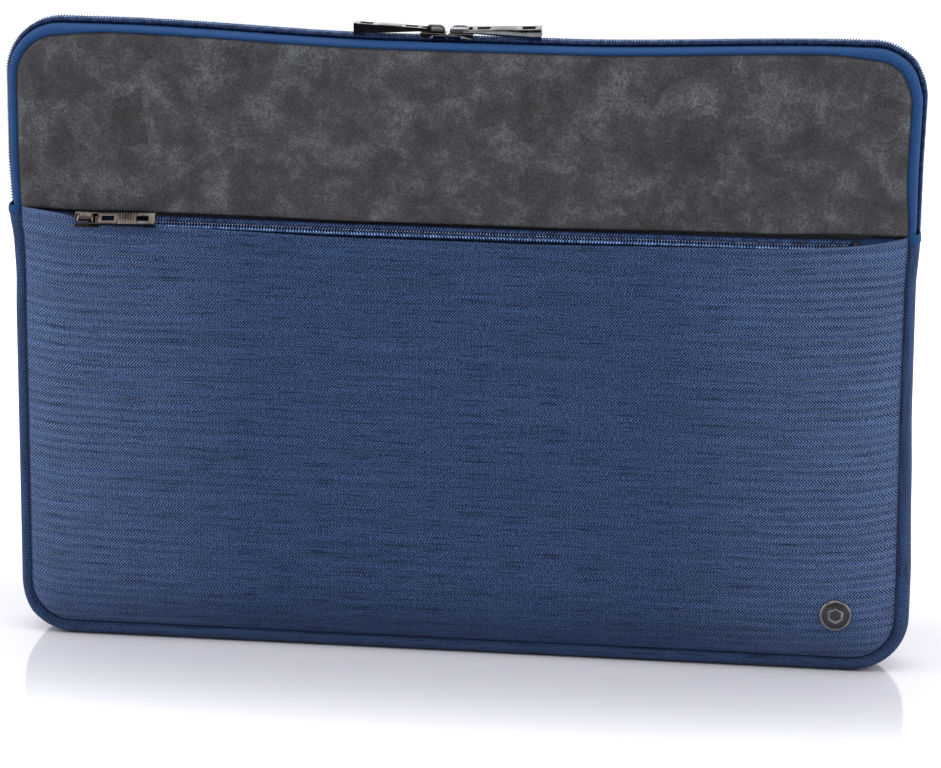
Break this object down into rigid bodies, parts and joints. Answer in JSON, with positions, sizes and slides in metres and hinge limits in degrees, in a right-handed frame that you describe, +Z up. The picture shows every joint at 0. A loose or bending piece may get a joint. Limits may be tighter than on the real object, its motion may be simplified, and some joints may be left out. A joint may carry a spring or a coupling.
{
  "type": "laptop sleeve",
  "caption": "Padded upright laptop sleeve with a zipped top that folds forward, a zipped front pocket, metal sliders and a round badge.",
  "frame": {"origin": "on the floor, in the middle of the flat bottom gusset, under the main zip's closing line", "axes": "+X to the right seen from the front, along the width; +Y to the back; +Z up; the pocket faces -Y"},
  "size_m": [0.4, 0.037, 0.2814],
  "materials": {
    "blue_fabric": "melange herringbone weave",
    "grey_suede": "mottled brushed suede cloth",
    "lining": "plain lining cloth",
    "foam": "soft padding foam",
    "zip_tape": "twill tape",
    "zip_coil": "nylon coil",
    "gunmetal": "polished black nickel"
  },
  "bodies": {
    "sleeve": {"back_panel": "blue_fabric", "back_foam": "foam", "back_lining": "lining", "pocket_panel": "blue_fabric", "pocket_backing": "lining", "front_foam_lower": "foam", "front_lining_lower": "lining", "front_panel_hem": "grey_suede", "gusset_strip": "blue_fabric", "gusset_lining": "lining", "left_zip_end_tab": "zip_tape", "right_zip_end_tab": "zip_tape", "rear_zip_tape": "zip_tape", "rear_zip_coil": "zip_coil", "pocket_zip_upper_tape": "zip_tape", "pocket_zip_lower_tape": "zip_tape", "pocket_zip_upper_coil": "zip_coil", "pocket_zip_lower_coil": "zip_coil", "pocket_zip_left_stop": "gunmetal", "pocket_zip_right_stop": "gunmetal", "badge_rim": "gunmetal", "badge_emblem": "gunmetal", "badge_washer": "gunmetal"},
    "front_flap": {"front_panel_upper": "grey_suede", "front_foam_upper": "foam", "front_lining_upper": "lining", "front_zip_tape": "zip_tape", "front_zip_coil": "zip_coil"},
    "left_slider": {"left_slider_body": "gunmetal", "left_slider_cap": "gunmetal"},
    "left_pull": {"left_slider_pull": "gunmetal"},
    "right_slider": {"right_slider_body": "gunmetal", "right_slider_cap": "gunmetal"},
    "right_pull": {"right_slider_pull": "gunmetal"},
    "pocket_slider": {"pocket_slider_body": "gunmetal", "pocket_slider_cap": "gunmetal"},
    "pocket_pull": {"pocket_slider_pull": "gunmetal"}
  },
  "joints": [
    {"name": "flap_fold", "type": "hinge", "parent": "sleeve", "child": "front_flap", "pos_m": [0, -0.0138, 0.199], "axis": [1, 0, 0], "range_deg": [0, 65]},
    {"name": "left_slider_travel", "type": "slide", "parent": "front_flap", "child": "left_slider", "axis": [-0.9998, 0, 0.021], "range_m": [0, 0.15]},
    {"name": "left_pull_swing", "type": "hinge", "parent": "left_slider", "child": "left_pull", "pos_m": [-0.01505, 0, 0.27846], "axis": [0, 1, 0], "range_deg": [0, 95]},
    {"name": "right_slider_travel", "type": "slide", "parent": "front_flap", "child": "right_slider", "axis": [0.9998, 0, 0.021], "range_m": [0, 0.15]},
    {"name": "right_pull_swing", "type": "hinge", "parent": "right_slider", "child": "right_pull", "pos_m": [0.00005, 0, 0.27846], "axis": [0, -1, 0], "range_deg": [0, 95]},
    {"name": "pocket_slider_travel", "type": "slide", "parent": "sleeve", "child": "pocket_slider", "axis": [1, 0, 0], "range_m": [0, 0.324]},
    {"name": "pocket_pull_swing", "type": "hinge", "parent": "pocket_slider", "child": "pocket_pull", "pos_m": [-0.1604, -0.01854, 0.19412], "axis": [0, -0.5262, -0.8504], "range_deg": [0, 125]}
  ]
}
